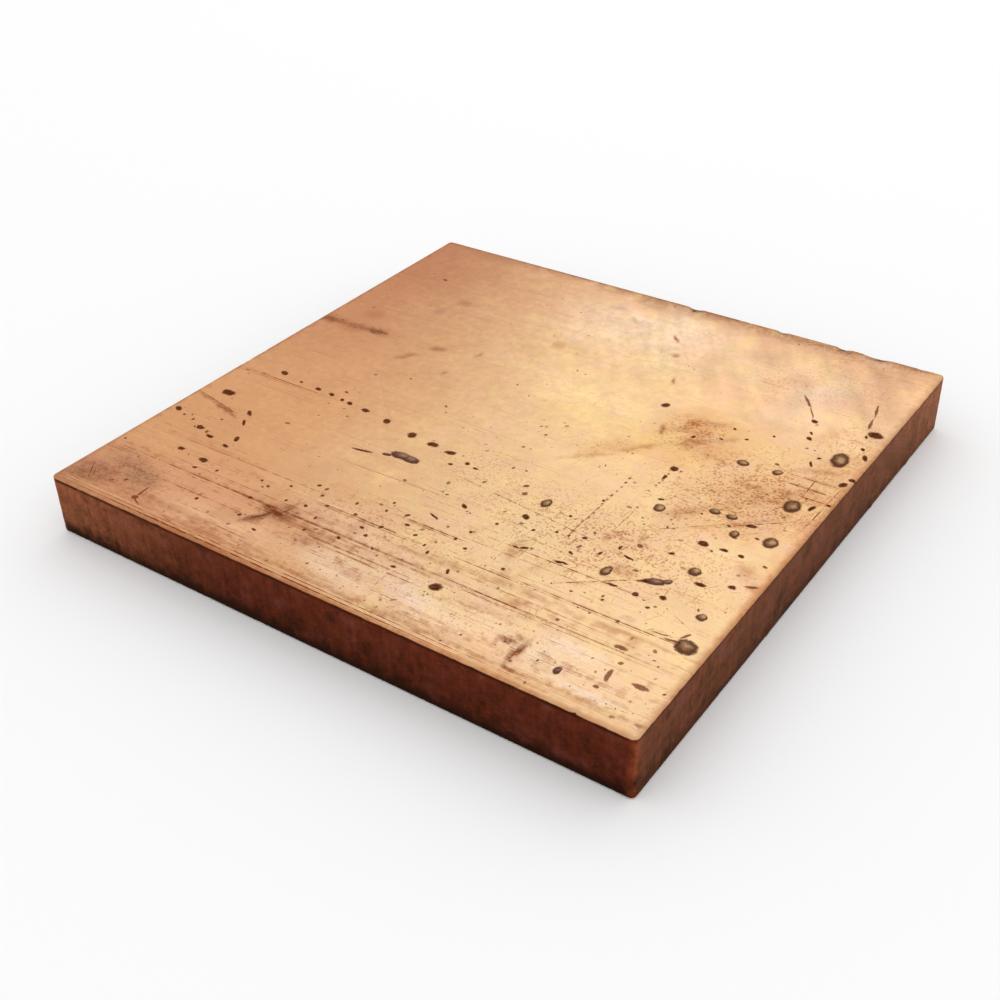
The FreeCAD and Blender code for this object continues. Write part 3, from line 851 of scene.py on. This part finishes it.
def marked(p, at, mottle, grit, colour, finish):
    """Lays the scratches, spots and drops over the colour, the drops with painted shade and a painted
    highlight, and says where they are.
    """
    flat = p.vector("MULTIPLY_ADD", at, (1, 1, 0), (0, 0, 1))
    scratch = p.times(p.share(p.mark_reach(flat, "scratch"), 1.4, 0.3),
                      p.share(mottle, 0.36, 0.56, 0.35, 1.2), p.attribute("scratch_colour", "Alpha"))
    scratch = p.math("MINIMUM", scratch, 1.0)
    colour = p.lay(colour, p.attribute("scratch_colour"), scratch)

    ragged = p.shaken(p.shaken(flat, 1.6, 0.25), 0.35, 0.09)
    uneven = p.plus(p.swing(mottle, 1.6), p.swing(grit, 1.2))
    spot = p.times(p.share(p.plus(p.mark_reach(ragged, "spot"), uneven), 1.6, 0.5),
                   p.share(grit, 0.3, 0.6, 0.9, 1.0), p.attribute("spot_colour", "Alpha"))
    colour = p.lay(colour, p.attribute("spot_colour"), spot)

    drop = p.plus(p.mark_reach(ragged, "drop"), p.times(uneven, 0.5))
    ring = p.times(p.share(drop, 1.4, 0.75), 0.95)
    # painted shade: the middle is laid a little towards the far side, which leaves the dark ring thicker on
    # the near side of each drop
    shifted_for_shade = p.vector("ADD", ragged, (0.02, -0.22, 0))
    middle = p.share(p.plus(p.mark_reach(shifted_for_shade, "drop"), p.times(uneven, 0.7)), 0.72, 0.08)
    # painted highlight: a pale glint near the far side of each drop's middle, fainter on the dark blots
    top = p.vector("ADD", ragged, (-0.12, -0.34, 0))
    glint = p.share(p.plus(p.mark_reach(top, "drop"), p.times(uneven, 0.6)), 0.24, 0.0)
    colour = p.lay(colour, finish.drop_rim, ring)
    dried = p.scaled(p.attribute("drop_colour"), p.share(grit, 0.3, 0.7, 0.6, 1.5))
    colour = p.lay(colour, dried, middle, ring, 0.9)
    shine = p.share(p.attribute("drop_colour", "Alpha"), 0, 1, 0.3, 0.5)
    colour = p.lay(colour, finish.glint, glint, ring, shine)
    return colour, scratch, spot, drop, ring


def sawn_finish(p, at, x, y, z, mottle, finish):
    """Colour, roughness and relief of the sawn sides."""
    long_x, long_y = p.math("ABSOLUTE", x), p.math("ABSOLUTE", y)
    cut = p.share(p.less(long_x, long_y), -0.4, 0.4)

    def by_side(along, across):
        """One value on the near and far sides, and another on the left and right ones."""
        return p.share(cut, 0, 1, along, across)

    patches = p.noise(at, 4.5, 4)
    flecks = p.noise(at, 0.55, 3, 0.6)
    ribs = p.noise(p.vector("MULTIPLY", at, (1.3, 1.3, 0.16)), 1, 3)
    # oxide, darkened with a painted dark reflection
    colour = p.lay(finish.red, finish.brown, cut)
    ends = p.share(p.math("ABSOLUTE", p.plus(x, y)), 62, 104)
    colour = p.lay(colour, finish.light, ends, 0.85)
    plum = p.times(p.share(patches, 0.48, 0.64), p.share(mottle, 0.35, 0.6))
    colour = p.lay(colour, finish.plum, plum, by_side(0.25, 0.6))

    # the saw's arcs, lighter and darker tones at random, and painted shade darker towards the foot
    from_saw = p.add("ShaderNodeCombineXYZ", {0: p.plus(x, y, -SAW_ALONG), 2: p.plus(z, SAW_BELOW)})
    arc = p.vector("LENGTH", from_saw, output="Value")
    saw = p.add("ShaderNodeTexNoise", {"W": p.times(arc, 3.2), "Scale": 1.0, "Detail": 2.0},
                noise_dimensions="1D")
    lit = p.plus(p.swing(saw, by_side(0.25, 0.5)), p.swing(mottle, by_side(1.3, 2.0)),
                 p.swing(patches, by_side(1.3, 1.7)), p.swing(ribs, 0.9), p.swing(flecks, 1.1),
                 p.share(z, 2, 9, 0.86, 1.1))
    colour = p.scaled(colour, lit)

    # pits, scuffs and smudges
    pits = p.times(p.share(flecks, 0.61, 0.70), p.share(patches, 0.42, 0.55))
    colour = p.lay(colour, finish.dirt_and_shade, pits, 0.7)
    scuffs = p.times(p.share(flecks, 0.41, 0.33), p.share(ribs, 0.45, 0.6))
    colour = p.lay(colour, finish.light, scuffs, 0.4)
    smudge = 0.0
    for *place, reach, strength in SIDE_SMUDGES:
        away = p.plus(p.vector("DISTANCE", at, place, output="Value"), p.swing(mottle, 3.0))
        smudge = p.most(smudge, p.share(away, reach, 0.0, 0.0, strength))
    colour = p.lay(colour, finish.dirt_and_shade, smudge)

    # the foot, darker with dirt and with painted shade; the line under the upper edge, painted shade; and
    # the corners, bare metal with a painted highlight
    low = p.plus(z, p.times(patches, 1.6), p.times(mottle, 1.6), -1.6)
    clean_end = p.share(p.times(cut, y), 0, 30, 1.0, 0.45)
    # painted shade mixed with dirt: the sides darker towards the floor
    foot = p.times(p.share(low, 2.9, 0.6), by_side(0.95, 0.5), clean_end)
    colour = p.lay(colour, finish.dirt_and_shade, foot)
    # painted shade: a dark line just under the upper edge, strongest on the near and far sides
    under = p.times(p.share(z, THICKNESS - 1.0, THICKNESS - 0.6), p.share(patches, 0.3, 0.55, 0.35, 1.0))
    colour = p.lay(colour, finish.painted_shade_line, under, by_side(0.95, 0.45))
    # bare metal and a painted highlight on the upright corners
    corner = p.share(p.math("MINIMUM", long_x, long_y), LENGTH / 2 - 1.6, LENGTH / 2 - 0.2)
    colour = p.lay(colour, finish.arris_and_highlight, corner, p.share(mottle, 0.3, 0.65, 0.3, 1.0), 0.3)
    rough = p.plus(p.times(mottle, 0.2), p.times(foot, 0.15), finish.roughness - 0.1)
    height = p.plus(p.times(saw, 0.014), p.times(mottle, 0.03), p.times(patches, 0.03),
                    p.times(flecks, 0.02), p.times(ribs, 0.02), p.times(pits, -0.03))
    return colour, rough, height


# ------------------------------------------------------------------ operators


class SheetOperator(bpy.types.Operator):
    """Make the worn copper blank in place of the plain one"""

    bl_idname = "copper_sheet.make_sheet"
    bl_label = "Copper blank"
    bl_options = {"REGISTER", "UNDO"}

    def execute(self, context):
        shape = context.scene.sheet_shape
        bm = sawn_block(shape)
        cut_into_cells(bm, shape)
        wear(bm, shape)
        keep_in_box(bm)
        for face in bm.faces:
            face.smooth = True
        mesh = bpy.data.meshes.new("worn_copper_blank")
        bm.to_mesh(mesh)
        bm.free()
        paint_upper_face(mesh, context.scene.rolled_finish, shape.seed)
        blank = bpy.data.objects.new("worn_copper_blank", mesh)
        context.collection.objects.link(blank)
        mesh.materials.append(copper_material(context.scene.rolled_finish, context.scene.sawn_finish))
        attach(blank, "root")
        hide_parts(NODE)
        return {"FINISHED"}


class StageOperator(bpy.types.Operator):
    """Make the floor, the light and the camera"""

    bl_idname = "copper_sheet.make_stage"
    bl_label = "Stage"
    bl_options = {"REGISTER", "UNDO"}

    def execute(self, context):
        studio = context.scene.studio_settings
        make_floor(context, studio)
        make_light(context, studio)
        make_camera(context, studio)
        context.scene.view_settings.view_transform = "Standard"
        return {"FINISHED"}


def make_floor(context, studio):
    """A plain pale floor at the height of the blank's foot."""
    bm = bmesh.new()
    bmesh.ops.create_grid(bm, x_segments=1, y_segments=1, size=studio.floor_reach)
    bmesh.ops.translate(bm, vec=FOOT, verts=bm.verts)
    mesh = bpy.data.meshes.new("floor")
    bm.to_mesh(mesh)
    bm.free()
    material = bpy.data.materials.new("pale_floor")
    material.use_nodes = True
    shader = material.node_tree.nodes["Principled BSDF"]
    shader.inputs["Base Color"].default_value = (*studio.floor, 1)
    shader.inputs["Roughness"].default_value = 0.8
    shader.inputs["Specular IOR Level"].default_value = 0.0
    mesh.materials.append(material)
    floor = bpy.data.objects.new("floor", mesh)
    context.collection.objects.link(floor)


def make_light(context, studio):
    """Even white light from all round, and a softbox behind the blank."""
    world = bpy.data.worlds.new("pale_room")
    world.use_nodes = True
    sky = world.node_tree.nodes["Background"]
    sky.inputs["Color"].default_value = (1, 1, 1, 1)
    sky.inputs["Strength"].default_value = studio.sky
    context.scene.world = world
    lamp = bpy.data.lights.new("softbox", "AREA")
    lamp.shape = "RECTANGLE"
    lamp.size, lamp.size_y = 0.55, 0.4
    lamp.energy = studio.softbox * math.pi * lamp.size * lamp.size_y
    softbox = bpy.data.objects.new("softbox", lamp)
    place = FOOT + Vector((-0.05, 0.48, 0.42))
    softbox.matrix_world = looking(place, FOOT - place, 0)
    context.collection.objects.link(softbox)


def looking(place, towards, roll):
    """Stands something at a place, looking along a direction, turned about it by the roll."""
    turned = towards.to_track_quat("-Z", "Y").to_matrix().to_4x4()
    return Matrix.Translation(place) @ turned @ Matrix.Rotation(roll, 4, "Z")


def make_camera(context, studio):
    """The camera, above the right-hand near corner."""
    camera = bpy.data.cameras.new("camera")
    camera.lens = studio.lens
    camera.clip_start = 10 * MM
    stand = bpy.data.objects.new("camera", camera)
    back = Vector((math.sin(studio.azimuth) * math.cos(studio.elevation),
                   -math.cos(studio.azimuth) * math.cos(studio.elevation), math.sin(studio.elevation)))
    aim = FOOT + Vector(studio.aim)
    stand.matrix_world = looking(aim + back * studio.distance, -back, studio.roll)
    context.collection.objects.link(stand)
    context.scene.camera = stand


# ------------------------------------------------------------------ the add-on

SETTINGS = {
    "sheet_shape": SheetShape,
    "rolled_finish": RolledFinish,
    "sawn_finish": SawnFinish,
    "studio_settings": StudioSettings,
}


class SheetPanel(bpy.types.Panel):
    """Lists the blank's settings and what can be made"""

    bl_idname = "VIEW3D_PT_copper_sheet"
    bl_label = "Copper sheet"
    bl_space_type = "VIEW_3D"
    bl_region_type = "UI"
    bl_category = "Copper sheet"

    def draw(self, context):
        for name, kind in SETTINGS.items():
            box = self.layout.box()
            box.label(text=kind.__doc__)
            for setting in kind.__annotations__:
                box.prop(getattr(context.scene, name), setting)
        for operator in OPERATORS:
            self.layout.operator(operator.bl_idname)


OPERATORS = (SheetOperator, StageOperator)
CLASSES = (*SETTINGS.values(), *OPERATORS, SheetPanel)


def register():
    for kind in CLASSES:
        bpy.utils.register_class(kind)
    for name, kind in SETTINGS.items():
        setattr(bpy.types.Scene, name, PointerProperty(type=kind))


def unregister():
    for name in SETTINGS:
        delattr(bpy.types.Scene, name)
    for kind in reversed(CLASSES):
        bpy.utils.unregister_class(kind)


def main():
    register()
    bpy.ops.copper_sheet.make_stage()
    bpy.ops.copper_sheet.make_sheet()


if __name__ == "__main__":
    main()
